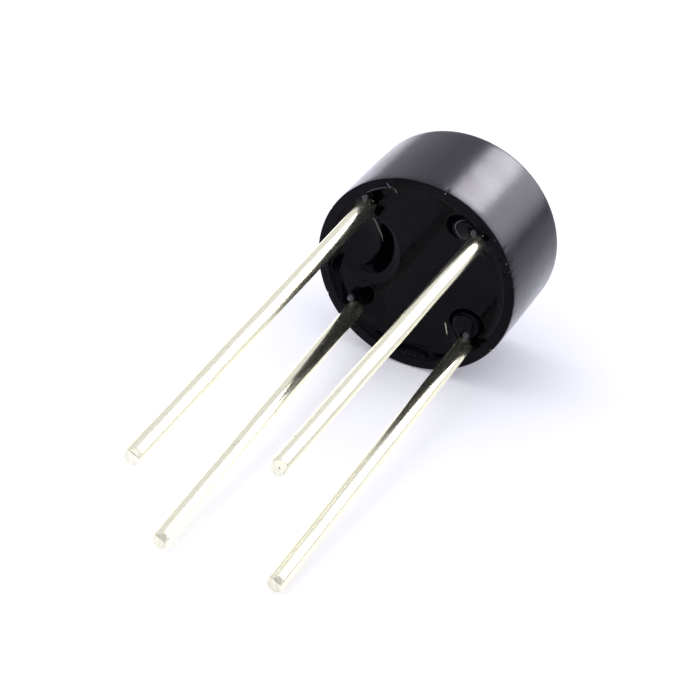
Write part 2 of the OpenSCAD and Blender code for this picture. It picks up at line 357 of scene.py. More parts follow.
# two mottled colours each, for the pieces inside the resin and for the small marks
plainLooks = dict(
    silicon=dict(name="passivatedSilicon", one=colour(0.10, 0.12, 0.15), two=colour(0.15, 0.18, 0.23),
                 roughness=0.22, metallic=0.6, scale=2.5, bump=0.1),
    solder=dict(name="dullSolder", one=colour(0.44, 0.45, 0.47), two=colour(0.34, 0.35, 0.38),
                roughness=0.38, metallic=1.0, scale=4.0, bump=0.3),
    coating=dict(name="curedSilicone", one=colour(0.78, 0.75, 0.68), two=colour(0.68, 0.65, 0.57),
                 roughness=0.55, scale=1.6, bump=0.2),
    fibre=dict(name="creamFibre", one=colour(0.62, 0.57, 0.42), two=colour(0.40, 0.36, 0.25),
               roughness=0.6, scale=6.0, bump=0.2),
    scratch=dict(name="scratchedPlastic", one=colour(0.26, 0.25, 0.29), two=colour(0.13, 0.12, 0.15),
                 roughness=0.6, scale=7.0, bump=0.3),
    smear=dict(name="smearedPlastic", one=colour(0.060, 0.056, 0.064), two=colour(0.020, 0.019, 0.023),
               roughness=0.6, scale=7.0, bump=0.3),
    crumb=dict(name="tanCrumb", one=colour(0.20, 0.15, 0.10), two=colour(0.09, 0.07, 0.055),
               roughness=0.7, scale=8.0, bump=0.3),
    ink=dict(name="paleInk", one=colour(0.52, 0.52, 0.50), two=colour(0.36, 0.36, 0.35),
             roughness=0.55, scale=5.0, bump=0.2),
    # darker olive tin for the cutter's bevel on two leads: partly a duller sheared finish, partly painted
    # shade
    bevel=dict(name="shearedBevelPaintedShade", one=colour(0.70, 0.67, 0.54), two=colour(0.52, 0.50, 0.39),
               roughness=0.38, metallic=0.70, scale=5.0, bump=0.3),
    # grey beads by the leads, their paler colour a painted reflection
    bead=dict(name="resinBeadPaintedReflection", one=colour(0.050, 0.048, 0.056), two=colour(0.030, 0.028, 0.034),
              roughness=0.20, scale=3.0, bump=0.1),
    # pale lines on the resin, their colour a painted reflection
    edge=dict(name="paintedReflectionStreak", one=colour(0.085, 0.080, 0.068), two=colour(0.028, 0.026, 0.020),
              roughness=0.35, scale=3.0, bump=0.1),
    # near-black beads: painted dark reflection on the resin by the leads, and painted shade in the rim's
    # nicks
    black=dict(name="blackPaintedShadeAndReflection", one=colour(0.0010, 0.0010, 0.0016), two=colour(0.0006, 0.0006, 0.0010),
               roughness=0.10, scale=3.0, bump=0.0, ior=1.04),
    dot=dict(name="lightDot", one=colour(0.42, 0.42, 0.46), two=colour(0.30, 0.30, 0.36),
             roughness=0.3, scale=3.0, bump=0.0),
    # dark thread on the cut ends' edges, its colour painted shade
    burr=dict(name="cutBurrShade", one=colour(0.13, 0.11, 0.07), two=colour(0.05, 0.04, 0.025),
              roughness=0.4, metallic=0.2, scale=8.0, bump=0.2),
)
plainPlastic = dict(metallic=0.0, ior=1.5)  # where a look above gives no value


def makePlainMaterial(ownLook):
    look = dict(plainPlastic, **ownLook)
    material, tree, shader = newMaterial(look["name"])
    vector = inMillimetres(tree)
    cloud = noise(tree, vector, look["scale"], 4.0)
    fine = noise(tree, vector, look["scale"] * 6.0, 3.0)
    base = mixColours(tree, remap(tree, cloud, 0.35, 0.65, 0.0, 1.0), look["one"], look["two"])
    rough = plus(tree, remap(tree, fine, 0.3, 0.7, -0.06, 0.08), look["roughness"])
    shader.inputs["Metallic"].default_value = look["metallic"]
    shader.inputs["IOR"].default_value = look["ior"]
    applyFinish(tree, shader, base, rough, bump(tree, fine, look["bump"], 0.00002))
    return material


caseMaterial = makeCaseMaterial("satinCasePlastic", casePlastic)
shadedRimMaterial = makeCaseMaterial("mattRimPlasticPaintedShade", rimPlasticShaded)
resinMaterial = makeResinMaterial()
tinMaterial = makeTinMaterial()
cutMaterial = makeCutMaterial()
plain = {key: makePlainMaterial(look) for key, look in plainLooks.items()}
nodeMaterials = dict(
    die=plain["silicon"], solder=plain["solder"], coat=plain["coating"],
    lead=tinMaterial, case=caseMaterial, potting=resinMaterial,
)
for name, node in frame["nodes"].items():
    node.data.materials.clear()
    node.data.materials.append(nodeMaterials[name.split("_")[0]])
print("materials made")


def cupProfile():
    # radius and depth, from the middle of the closed end's outside round to the middle of its inside
    height, rimRound, endRound = cup["height"], cup["rimRound"], cup["endRound"]
    bore, boreRound, lip = cup["boreRadius"], cup["boreRound"], cup["boreLip"]
    floorDepth = height - cup["roof"]
    normal = np.array([height, cup["draft"]]) / math.hypot(height, cup["draft"])
    endX = cup["outerRadius"] - (endRound + (height - endRound) * normal[1]) / normal[0]
    rimX = cup["outerRadius"] - rimRound * (1 + normal[1]) / normal[0]
    endAngle = math.degrees(math.asin(normal[1]))
    profile = [(r, height) for r in (0.02, 0.6, 1.4, 2.2, 3.0, 3.6, 4.0)]
    profile += arcPoints((endX, height - endRound), endRound, 90, endAngle, 9)
    sideTop = np.array(profile[-1])
    sideLow = np.array((rimX + rimRound * normal[0], rimRound * (1 + normal[1])))
    profile += [tuple(sideTop + (sideLow - sideTop) * t) for t in np.linspace(0, 1, 17)[1:-1]]
    profile += arcPoints((rimX, rimRound), rimRound, endAngle, -90, 7)
    profile += [(r, 0.0) for r in np.linspace(rimX, bore + lip, 7)[1:-1]]
    profile += arcPoints((bore + lip, lip), lip, 270, 180, 5)
    profile += [(bore, z) for z in (0.12, 0.25, 0.4, 0.6, 1.2, 2.4, 3.6, floorDepth - boreRound)]
    profile += arcPoints((bore - boreRound, floorDepth - boreRound), boreRound, 0, 90, 6)[1:]
    profile += [(r, floorDepth) for r in (3.0, 2.0, 1.0, 0.02)]
    return np.array(profile)


def makeCase():
    profile = cupProfile()
    count, turns = len(profile), cup["segments"]
    angle = np.linspace(0, 2 * math.pi, turns, endpoint=False)
    radius = np.repeat(profile[:, 0][:, None], turns, 1)
    depth = np.repeat(profile[:, 1][:, None], turns, 1)
    around = np.repeat(angle[None, :], count, 0)
    waveSeed, fineSeed, rippleSeed = cup["seeds"]
    nearRim = 1.0 - smoothStep(*cup["rimFade"], depth)
    outer = smoothStep(*cup["outerZone"], radius)
    inner = 1.0 - smoothStep(*cup["innerZone"], radius)
    wave = 0.5 + 0.5 * softNoise(around * 3.0, around * 0.0, waveSeed)
    fineWave = 0.5 + 0.5 * softNoise(around * 14.0, around * 0.0, fineSeed)
    radius -= cup["rimWobble"] * nearRim * outer * (0.6 * wave + 0.4 * fineWave)
    radius += cup["boreWobble"] * nearRim * inner * (0.7 * wave + 0.5 * fineWave - 0.4)
    ripple = 0.5 + 0.5 * softNoise(around * 5.0, radius * 6.0, rippleSeed)
    depth += nearRim * cup["rimRipple"] * ripple * smoothStep(*cup["rimZone"], radius)
    # the side is a little narrower at both ends than in the middle
    along = np.clip(depth / cup["height"], 0.0, 1.0)
    radius -= cup["barrel"] * (2.0 * along - 1.0) ** 2 * smoothStep(*cup["barrelZone"], radius)
    for place, halfWidth, bite in cup["nicks"]:
        gap = np.abs((np.degrees(around) - place + 180.0) % 360.0 - 180.0)
        cut = (1.0 - smoothStep(0.25, 1.0, gap / halfWidth)) * nearRim * outer
        radius -= bite * 0.7 * cut
        depth += bite * 0.8 * cut * (1.0 - smoothStep(0.0, 0.12, depth))
    rings = np.stack([radius * np.cos(around), radius * np.sin(around), depth], -1).reshape(-1, 3)
    points = np.vstack([rings, [[0, 0, cup["height"]], [0, 0, cup["height"] - cup["roof"]]]])
    faces = flipped(closedFaces(count, turns, len(rings), len(rings) + 1))
    middles = np.array([points[list(f)].mean(0) for f in faces])
    inside = np.hypot(middles[:, 0], middles[:, 1]) < cup["outerRadius"] - 0.04
    # faces on the rim's face take the darker copy of the plastic, painted shade
    rimFace = (middles[:, 2] < cup["rimRound"] * 0.8) & inside
    materials = [caseMaterial, shadedRimMaterial]
    return addPiece("caseShell", points, faces, materials, ["case"], 35.0, rimFace.astype(int))


case = makeCase()
print("case made", len(case.data.polygons), "faces")

resin = dict(
    level=0.40, wallRise=0.16, wallReach=0.42, wallLean=0.35, wallUneven=0.22, ripple=0.010,
    rings=170, turns=540, seeds=(21, 22), fit=0.999,
    # hollow left by escaped air: middle, and its reach to the right, left, top and low side
    sinkCentre=(-2.20, -0.30), sinkRadii=(1.30, 1.62, 1.60, 1.60), sinkDepth=0.20,
    # run of resin at the low side of the rim, with bubbles as (right, low, radius, height)
    runCentre=(0.28, 4.12), runRadii=(1.18, 0.56), runEdge=0.34, runRise=0.35,
    bubbles=[
        (-0.42, 3.92, 0.13, 0.05), (-0.05, 3.90, 0.17, 0.06), (0.26, 3.90, 0.11, 0.04),
        (0.50, 3.89, 0.14, 0.05), (0.92, 3.86, 0.15, 0.05),
    ],
    # the rise round each lead: place, height, reach, and how straight its slope is
    menisci=[
        dict(at=(-2.50, -2.50), height=0.13, reach=0.80, straight=0.1),
        dict(at=(-2.54, 2.54), height=0.36, reach=1.30, straight=0.8),
        dict(at=(2.56, -2.51), height=0.30, reach=1.05, straight=0.4),
        dict(at=(2.54, 2.54), height=0.22, reach=1.00, straight=0.3),
    ],
    # second pour: thick drops with rounded edges
    drops=[
        dict(at=(2.40, 1.82), radii=(0.71, 0.71), rise=0.10, edge=0.30, crown=0.05),
        dict(at=(1.95, -2.72), radii=(0.84, 0.60), rise=0.12, edge=0.30, crown=0.05),
    ],
    # creases beside drops and sink: ellipse of the middle line, arc and fade in degrees, width, depth
    grooves=[
        dict(at=(2.40, 1.82), radii=(0.72, 0.70), arc=(150.0, 385.0), fade=35.0, width=0.18, depth=0.17),
        dict(at=(-2.75, 1.00), radii=(0.95, 1.00), arc=(150.0, 235.0), fade=40.0, width=0.34, depth=0.22),
        dict(at=(-2.66, -0.62), radii=(1.10, 1.32), arc=(290.0, 455.0), fade=55.0, width=0.76, depth=0.56),
        dict(at=(2.00, -2.72), radii=(0.86, 0.60), arc=(105.0, 262.0), fade=55.0, width=0.31, depth=0.24),
    ],
    # small blown holes by the leads
    pits=[dict(at=(3.26, 2.30), radius=0.15, depth=0.16), dict(at=(2.86, -1.94), radius=0.07, depth=0.08)],
)


def ellipseShare(x, y, centre, radii):
    # 0 in the middle of an ellipse and 1 on its line
    return np.hypot((x - centre[0]) / radii[0], (y - centre[1]) / radii[1])


def wallRise(x, y):
    # drawn up the wall, more on the left and below
    radius, angle = np.hypot(x, y), np.arctan2(y, x)
    edgeShare = np.clip(1.0 - (cup["boreRadius"] - radius) / resin["wallReach"], 0.0, 1.0)
    lean = 1.0 + resin["wallLean"] * np.cos(angle - math.radians(150.0))
    uneven = 1.0 + resin["wallUneven"] * softNoise(angle * 2.0, angle * 0.0, resin["seeds"][1])
    return resin["wallRise"] * edgeShare ** 2 * lean * uneven


def leadRise(x, y, ring, rootReach=0.34):
    away = np.hypot(x - ring["at"][0], y - ring["at"][1])
    gap = np.clip((away - rootReach) / (ring["reach"] - rootReach), 0.0, 1.0)
    curved, straight = (1.0 - gap) ** 3, (1.0 - gap) ** 1.15
    return ring["height"] * (ring["straight"] * straight + (1.0 - ring["straight"]) * curved)


def dropRise(x, y, drop):
    share = ellipseShare(x, y, drop["at"], drop["radii"])
    thick = drop["rise"] * (1.0 - smoothStep(1.0 - drop["edge"], 1.0, share))
    return thick + drop["crown"] * np.clip(1.0 - share ** 2, 0.0, 1.0)


def sinkDrop(x, y):
    toRight, toLeft, toTop, toLow = resin["sinkRadii"]
    dx, dy = x - resin["sinkCentre"][0], y - resin["sinkCentre"][1]
    share = np.hypot(dx / np.where(dx > 0, toRight, toLeft), dy / np.where(dy > 0, toLow, toTop))
    return resin["sinkDepth"] * (1.0 - np.clip(share, 0.0, 1.0) ** 2)


def grooveDrop(x, y, groove):
    u, v = (x - groove["at"][0]) / groove["radii"][0], (y - groove["at"][1]) / groove["radii"][1]
    turned = (np.degrees(np.arctan2(v, u)) - groove["arc"][0]) % 360.0
    span, fade = groove["arc"][1] - groove["arc"][0], groove["fade"]
    share = smoothStep(0.0, fade, turned) * (1.0 - smoothStep(span - fade, span, turned))
    gap = np.abs(np.hypot(u, v) - 1.0) * sum(groove["radii"]) / 2
    halfWidth = groove["width"] / 2 * (0.25 + 0.75 * share)  # narrower towards both ends
    return groove["depth"] * share * np.clip(1.0 - gap / halfWidth, 0.0, 1.0)


def resinDepth(x, y):
    # depth of the resin's free surface behind the rim
    rise = resin["ripple"] * softNoise(x * 1.3, y * 1.3, resin["seeds"][0])
    rise = rise + wallRise(x, y)
    for ring in resin["menisci"]:
        rise = rise + leadRise(x, y, ring)
    for drop in resin["drops"]:
        rise = rise + dropRise(x, y, drop)
    rise = rise - sinkDrop(x, y)
    share = ellipseShare(x, y, resin["runCentre"], resin["runRadii"])
    run = 1.0 - smoothStep(1.0 - resin["runEdge"], 1.0, share)
    rise = rise + run * np.maximum(resin["runRise"] - rise, 0.0)
    for groove in resin["grooves"]:
        rise = rise - grooveDrop(x, y, groove)
    for pit in resin["pits"]:
        gap = np.hypot(x - pit["at"][0], y - pit["at"][1]) / pit["radius"]
        rise = rise - pit["depth"] * np.clip(1.0 - gap, 0.0, 1.0)
    for bubbleX, bubbleY, size, height in resin["bubbles"]:
        rise = rise + height * (1.0 - smoothStep(0.2, 1.0, np.hypot(x - bubbleX, y - bubbleY) / size))
    # never past the rim near the wall, and only a little past it round the leads
    highest = resin["level"] + np.where(np.hypot(x, y) > 3.2, -0.008, 0.10)
    return resin["level"] - np.minimum(rise, highest)


def makeResin():
    turns, rings = resin["turns"], resin["rings"]
    angle = np.linspace(0, 2 * math.pi, turns, endpoint=False)
    share = np.linspace(0, 1, rings + 1)[1:]
    edge = cup["boreRadius"] * resin["fit"]
    r, a = np.meshgrid(edge * share ** 0.92, angle, indexing="ij")
    x, y = r * np.cos(a), r * np.sin(a)
    top = np.stack([x, y, resinDepth(x, y)], -1).reshape(-1, 3)
    bottom = cup["height"] - cup["roof"] - 0.002
    bore, rounding = cup["boreRadius"], cup["boreRound"]
    # down the wall, round the cup's inner corner and in under the leads' heads
    skirt = [
        (1.2, edge), (bottom - rounding, edge), (bottom - 0.09, bore - 0.09),
        (bottom, bore - rounding), (bottom, 2.0),
    ]
    skirtRings = [
        np.stack([reach * np.cos(angle), reach * np.sin(angle), np.full(turns, depth)], -1)
        for depth, reach in skirt
    ]
    middle = float(resinDepth(np.zeros(1), np.zeros(1))[0])
    points = np.vstack([top] + skirtRings + [[[0, 0, middle], [0, 0, bottom]]])
    rows = rings + len(skirt)
    faces = closedFaces(rows, turns, rows * turns, rows * turns + 1)
    return addPiece("resinFill", points, faces, [resinMaterial], ["potting"])


resinFill = makeResin()
print("resin made", len(resinFill.data.polygons), "faces")

wire = dict(
    radius=0.358, rootRadius=0.373, rootSpan=(-0.2, 0.5), segments=56, step=0.16,
    headThick=0.3, armWidth=0.6, padRadius=0.7, padSteps=33, upright=(1.8, 1.2, 0.8),
    bendDepth=0.25, bendRun=0.3, bendSteps=9, wave=0.006, oval=0.012,
    # the cut end: how far back it is shaped, how deep, and the rings of its face as (share of radius, dish)
    cutSpan=0.62, cutSteps=15, pinchSpan=0.24, tiltSpan=0.22, backDepth=0.14, endTaper=0.12,
    caps=[(0.985, 0.0), (0.93, 0.012), (0.6, 0.006), (0.25, 0.0)],
)
leads = [
    # corner and set of the tip as (right, low), length past the rim, depth of the head, and how it was cut
    dict(name="lead_plus", at=(-2.50, -2.50), tipShift=(0.36, 0.15), length=20.1, headDepth=2.91, seed=31,
         pinch=65.0, cutAway=215.0, cutTilt=4.0, pinchDepth=0.26, dullShadedBevel=False),
    dict(name="lead_minus", at=(2.54, 2.54), tipShift=(0.38, 0.16), length=18.1, headDepth=2.91, seed=32,
         pinch=60.0, cutAway=240.0, cutTilt=5.0, pinchDepth=0.20, dullShadedBevel=True),
    dict(name="lead_ac_1", at=(-2.54, 2.54), tipShift=(0.65, 0.16), length=18.1, headDepth=2.2, seed=33,
         pinch=57.0, cutAway=237.0, cutTilt=6.0, pinchDepth=0.42, dullShadedBevel=True),
    dict(name="lead_ac_2", at=(2.56, -2.51), tipShift=(0.09, 0.02), length=18.1, headDepth=2.2, seed=34,
         pinch=40.0, cutAway=200.0, cutTilt=8.0, pinchDepth=0.60, dullShadedBevel=False),
]


def headOutlines(lead):
    # the flattened head, two arms with round pads, as closed outlines in the plane of the head
    outlines = []
    start = np.array(lead["at"])
    half, pad = wire["armWidth"] / 2, wire["padRadius"]
    joinAngle = math.asin(half / pad)
    for end in (np.array((0.0, start[1])), np.array((start[0], 0.0))):
        ux, uy = (end - start) / math.hypot(*(end - start))
        side = np.array([-uy, ux])
        base = math.atan2(uy, ux)
        outline = [start - side * half]
        for a in np.linspace(-math.pi + joinAngle, math.pi - joinAngle, wire["padSteps"]):
            outline.append(end + pad * np.array([math.cos(base + a), math.sin(base + a)]))
        outline.append(start + side * half)
        outlines.append(np.array(outline))
    return outlines


def centreLine(lead):
    # upright out of the head, then a short bend, then straight to the cut
    cx, cy = lead["at"]
    bendDepth, bendRun = wire["bendDepth"], wire["bendRun"]
    run = np.array([lead["tipShift"][0], lead["tipShift"][1], -lead["length"] - bendDepth])
    length = np.linalg.norm(run)
    heading = run / length
    bend = np.array([cx, cy, bendDepth])
    centres = [np.array([cx, cy, z]) for z in (lead["headDepth"] + wire["headThick"], *wire["upright"])]
    for t in np.linspace(0, 1, wire["bendSteps"]):
        before = np.array([cx, cy, bendDepth + bendRun * (1 - t)])
        after = bend + heading * bendRun * t
        centres.append(before * (1 - t) + after * t)
    cutStart = length - wire["cutSpan"]
    count = int((length - bendRun - wire["cutSpan"]) / wire["step"])
    centres += [bend + heading * s for s in np.linspace(bendRun, cutStart, count)[1:]]
    centres += [bend + heading * s for s in np.linspace(cutStart, length, wire["cutSteps"])[1:]]
    return np.array(centres), bend, heading, length


def wireRings(lead, centres, bend, heading, length):
    # one ring of points round each centre, with the share of it that the cutter has squeezed
    rng = np.random.default_rng(lead["seed"])
    around = np.linspace(0, 2 * math.pi, wire["segments"], endpoint=False)
    sideA = np.cross(heading, (0.0, 1.0, 0.0))
    sideA /= np.linalg.norm(sideA)
    sideB = np.cross(heading, sideA)
    phase = rng.uniform(0, 2 * math.pi, 3)
    jaw = np.cos(around - math.radians(lead["pinch"]))  # 1 where the cutter's jaw met the wire
    away = np.cos(around - math.radians(lead["cutAway"]))  # 1 where the cut leaves the wire shortest
    slope = math.tan(math.radians(lead["cutTilt"]))
    rings, squeezes = [], []
    for centre in centres:
        s = float(np.dot(centre - bend, heading))
        atRoot = 1.0 - float(smoothStep(*wire["rootSpan"], s))
        radius = wire["radius"] + (wire["rootRadius"] - wire["radius"]) * atRoot
        # a drawn wire is never quite straight or round along its free length
        free = float(smoothStep(0.5, 4.0, s) * (1.0 - smoothStep(length - 5.0, length - 1.0, s)))
        wave = wire["wave"] * free
        shift = sideA * wave * math.sin(0.9 * s + phase[0]) + sideB * wave * math.sin(0.7 * s + phase[1])
        local = radius * (1.0 - wire["oval"] * free * (0.5 + 0.5 * np.sin(2 * around + 1.3 * s + phase[2])))
        # the cutter's jaws leave two shallow bevels and a thin lip
        squeeze = float(np.clip((s - length + wire["pinchSpan"]) / wire["pinchSpan"], 0.0, 1.0))
        flat = 1.0 - squeeze * lead["pinchDepth"]
        local = np.where(jaw > flat, local * flat / np.maximum(jaw, 0.2), local)
        local = local * (1.0 - squeeze * wire["backDepth"] * np.maximum(0.0, -jaw) ** 2)
        local = local * (1.0 - wire["endTaper"] * squeeze)
        ring = centre + shift + np.outer(local * np.cos(around), sideA)
        ring = ring + np.outer(local * np.sin(around), sideB)
        tiltShare = float(smoothStep(length - wire["tiltSpan"], length, s))
        rings.append(ring - np.outer(tiltShare * slope * (local * (1.0 + away)), heading))
        squeezes.append(squeeze)
    return rings, squeezes, jaw


def makeLead(lead):
    centres, bend, heading, length = centreLine(lead)
    rings, squeezes, jaw = wireRings(lead, centres, bend, heading, length)
    segments = wire["segments"]
    tipRing = rings[-1]
    lead["tipRing"] = tipRing
    tipMiddle = tipRing.mean(0)
    caps = [tipMiddle + (tipRing - tipMiddle) * share - heading * dish for share, dish in wire["caps"]]
    points = np.vstack(rings + caps + [tipMiddle, centres[0]])
    rows = len(rings) + len(caps)
    faces = closedFaces(rows, segments, rows * segments + 1, rows * segments)
    tinLook, cutLook, bevelShadeLook = 0, 1, 2
    squeezes += [0.0] * len(caps)
    looks = []
    for j in range(segments):
        for i in range(rows - 1):
            onBevel = squeezes[i] > 0 and jaw[j] > 1.0 - squeezes[i] * lead["pinchDepth"]
            # on those leads the cutter's bevel takes the darker tin, painted shade
            sideLook = bevelShadeLook if lead["dullShadedBevel"] and onBevel else tinLook
            looks.append(cutLook if i >= len(rings) else sideLook)
    looks += [tinLook, cutLook] * segments  # the fans at the root and at the tip
    for outline in headOutlines(lead):
        start, n = len(points), len(outline)
        low = np.column_stack([outline, np.full(n, lead["headDepth"])])
        high = np.column_stack([outline, np.full(n, lead["headDepth"] + wire["headThick"])])
        points = np.vstack([points, low, high])
        faces.append(tuple(start + i for i in range(n))[::-1])
        faces.append(tuple(start + n + i for i in range(n)))
        for i in range(n):
            k = (i + 1) % n
            faces.append((start + i, start + k, start + n + k, start + n + i))
        looks += [tinLook] * (n + 2)
    name = lead["name"].replace("lead", "wire")
    materials = [tinMaterial, cutMaterial, plain["bevel"]]
    return addPiece(name, points, faces, materials, [lead["name"]], 24.0, looks)


for lead in leads:
    piece = makeLead(lead)
    print(piece.name, "made", len(piece.data.polygons), "faces")


def strand(name, path, radii, material, flatten=1.0, segments=10):
    # a thin closed thread along a path in the cup's axes
    path = np.asarray(path, float)
    points = []
    for i, centre in enumerate(path):
        ahead = path[min(i + 1, len(path) - 1)] - path[max(i - 1, 0)]
        ahead /= np.linalg.norm(ahead)
        side = np.cross(ahead, (0.0, 0.0, 1.0))
        side /= np.linalg.norm(side)
        up = np.cross(side, ahead)
        for a in np.linspace(0, 2 * math.pi, segments, endpoint=False):
            points.append(centre + radii[i] * (math.cos(a) * side + flatten * math.sin(a) * up))
    faces = gridFaces(len(path), segments)
    faces.append(tuple(range(segments))[::-1])
    faces.append(tuple((len(path) - 1) * segments + j for j in range(segments)))
    return addPiece(name, points, faces, [material])


def bead(name, place, radii, material, rows=12, turns=20, lump=None):
    # a small closed ball, with an uneven surface where lump gives one
    place, radii = np.array(place, float), np.array(radii, float)
    points = []
    for i in range(1, rows):
        polar = math.pi * i / rows
        for j in range(turns):
            a = 2 * math.pi * j / turns
            across = math.sin(polar)
            outward = np.array([across * math.cos(a), across * math.sin(a), math.cos(polar)])
            points.append(place + radii * outward * (lump(a, polar) if lump else 1.0))
    pole = radii * (0.0, 0.0, 1.0)
    points += [place + pole, place - pole]
    faces = flipped(closedFaces(rows - 1, turns, len(points) - 2, len(points) - 1))
    return addPiece(name, points, faces, [material])


def crumb(name, place, size, material, seed, flatten=0.6):
    # a small irregular grain
    phases = np.random.default_rng(seed).uniform(0, 2 * math.pi, 3)

    def lump(a, polar):
        wide = 0.22 * math.sin(2 * a + phases[0]) * math.sin(polar)
        leaning = 0.18 * math.sin(3 * a + 2 * polar + phases[1])
        return 1.0 + wide + leaning + 0.12 * math.sin(5 * a + phases[2])

    return bead(name, place, (size[0], size[1], size[0] * flatten), material, 7, 12, lump)


def onResin(path, lift):
    return np.column_stack([path, resinDepth(path[:, 0], path[:, 1]) - lift])


def onRim(path, openDepth=0.2, rimDepth=0.004):
    # on the rim's face, or down on the resin where the path runs past the bore
    away = np.hypot(path[:, 0], path[:, 1])
    onFill = np.minimum(resinDepth(path[:, 0], path[:, 1]), openDepth)
    return np.column_stack([path, np.where(away < cup["boreRadius"] + 0.01, onFill, rimDepth)])


def refine(points):
    # more points along a short path, with rounded corners
    points = np.array(points, float)
    for _ in range(2):
        firsts = points[:-1] * 0.75 + points[1:] * 0.25
        seconds = points[:-1] * 0.25 + points[1:] * 0.75
        points = np.vstack([points[:1], np.stack([firsts, seconds], 1).reshape(-1, 2), points[-1:]])
    return points


# threads as (right, low) points, thickness, and how it tapers: share of the length, share of the thickness
fibreTaper = ([0, 0.2, 0.7, 1], [0.5, 1.0, 1.1, 0.3])
scratchTaper = ([0, 0.3, 0.7, 1], [0.3, 1.0, 0.9, 0.2])
streakTaper = ([0, 0.25, 0.7, 1], [0.3, 1.0, 0.8, 0.2])
fibre = dict(
    name="creamFibre", radius=0.026, lift=0.018, flatten=1.0,
    path=[(1.44, 2.02), (1.50, 2.10), (1.52, 2.24), (1.57, 2.40), (1.62, 2.56)],
)
rimMarks = dict(
    flatten=0.3,
    lines=[
        dict(name="rimSmear", path=[(-2.53, -3.19), (-2.24, -3.44), (-1.89, -3.64), (-1.60, -3.76)],
             radius=0.024, look="smear"),
        dict(name="rimScratchA", path=[(-1.67, -3.95), (-1.54, -3.82), (-1.40, -3.66)],
             radius=0.018, look="scratch"),
        dict(name="rimScratchB", path=[(-1.60, -3.80), (-1.42, -3.84), (-1.22, -3.75)],
             radius=0.0126, look="smear"),
        dict(name="rimScratchC", path=[(-1.40, -3.66), (-1.32, -3.58), (-1.24, -3.50)],
             radius=0.0162, look="scratch"),
    ],
    # tan grains, black grains painted as the shade in the rim's nicks, and one pale grain as (right, low,
    # radius, width)
    grains=[
        (3.92, -1.93, 0.030, 0.045), (4.08, -1.60, 0.022, 0.03), (3.30, -2.88, 0.040, 0.045),
        (3.56, -2.56, 0.030, 0.05), (2.96, -3.23, 0.024, 0.03), (4.24, -0.85, 0.022, 0.03),
        (3.74, 2.40, 0.050, 0.045), (3.66, 2.54, 0.035, 0.04), (2.15, -3.71, 0.022, 0.03),
    ],
    nicks=[(3.91, -1.42, 0.050, 0.09), (3.62, -2.05, 0.040, 0.07), (4.02, -0.98, 0.035, 0.06)],
    paleGrain=(0.93, -4.28, 0.028, 0.03),
    grainDepth=0.03, nickDepth=0.012, nickFlatten=0.3, grainSeed=60, nickSeed=70, paleSeed=80,
)
beads = dict(
    # beads of resin drawn up against the leads, as (right, low, depth, radius, height over width); the
    # colours of the grey and the black ones are painted reflections
    greyReflection=[
        (-2.60, -2.94, 0.12, 0.15, 1.0), (-2.80, 2.12, 0.12, 0.17, 1.0), (2.34, -2.88, 0.08, 0.15, 1.0),
        (2.56, 2.08, 0.12, 0.16, 1.0),
    ],
    # the black ones paint the dark reflection beside each lead's root
    black=[
        (-2.14, -2.84, 0.16, 0.15, 1.0), (-2.00, -2.34, 0.18, 0.15, 1.1), (2.88, -2.86, 0.20, 0.26, 0.95),
        (2.94, 2.34, 0.14, 0.19, 1.0), (-2.16, 1.86, 0.22, 0.34, 1.15),
    ],
    # pale dots of light on the black ones
    dots=[
        (-2.20, -2.88, 0.03, 0.022, 1.0), (2.78, -2.92, -0.02, 0.028, 1.0), (2.85, 2.27, 0.03, 0.026, 1.0),
        (-2.36, 2.04, 0.08, 0.030, 1.0), (-2.43, 1.82, 0.10, 0.022, 1.0),
    ],
)
burrShades = dict(
    # a dark thread along part of each cut end's edge, its colour painted shade: from and to in degrees past
    # the pinched side, thickness
    places=dict(lead_plus=(-55, 62, 0.020), lead_minus=(-62, 70, 0.012), lead_ac_1=(20, 80, 0.016),
                lead_ac_2=(-60, 62, 0.034)),
    steps=15, inset=0.004, flatten=0.8,
)
# pale lines on the resin, painted reflections: a curved one round the drop by one lead, and a streak down
# from the root of another
reflectionStreaks = dict(
    lift=0.004, flatten=0.6,
    lines=[
        dict(name="dropEdgeReflection", radius=0.026,
             path=[(1.86, -2.36), (1.62, -2.46), (1.45, -2.68), (1.44, -2.94), (1.62, -3.12), (1.86, -3.20)]),
        dict(name="resinStreakReflection", radius=0.050,
             path=[(-2.27, -1.89), (-2.16, -1.72), (-2.04, -1.45), (-1.92, -1.09), (-1.84, -0.69)]),
    ],
)


def tapered(line, path, taper):
    return line["radius"] * np.interp(np.linspace(0, 1, len(path)), *taper)


def makeRimMarks():
    for line in rimMarks["lines"]:
        path = onRim(refine(line["path"]))
        radii = tapered(line, path, scratchTaper)
        strand(line["name"], path, radii, plain[line["look"]], rimMarks["flatten"])
    for index, (x, y, *size) in enumerate(rimMarks["grains"]):
        place = (x, y, rimMarks["grainDepth"])
        crumb("rimGrain%d" % (index + 1), place, size, plain["crumb"], rimMarks["grainSeed"] + index)
    # black grains on the rim's face, painted shade of its nicks
    for index, (x, y, *size) in enumerate(rimMarks["nicks"]):
        place = (x, y, rimMarks["nickDepth"])
        seed = rimMarks["nickSeed"] + index
        crumb("rimNickShade%d" % (index + 1), place, size, plain["black"], seed, rimMarks["nickFlatten"])
    x, y, *size = rimMarks["paleGrain"]
    crumb("rimGrainPale", (x, y, rimMarks["grainDepth"]), size, plain["fibre"], rimMarks["paleSeed"])


def makeBeads(name, places, material):
    for index, (x, y, depth, radius, tall) in enumerate(places):
        bead("%s%d" % (name, index + 1), (x, y, depth), (radius, radius * tall, radius), material)


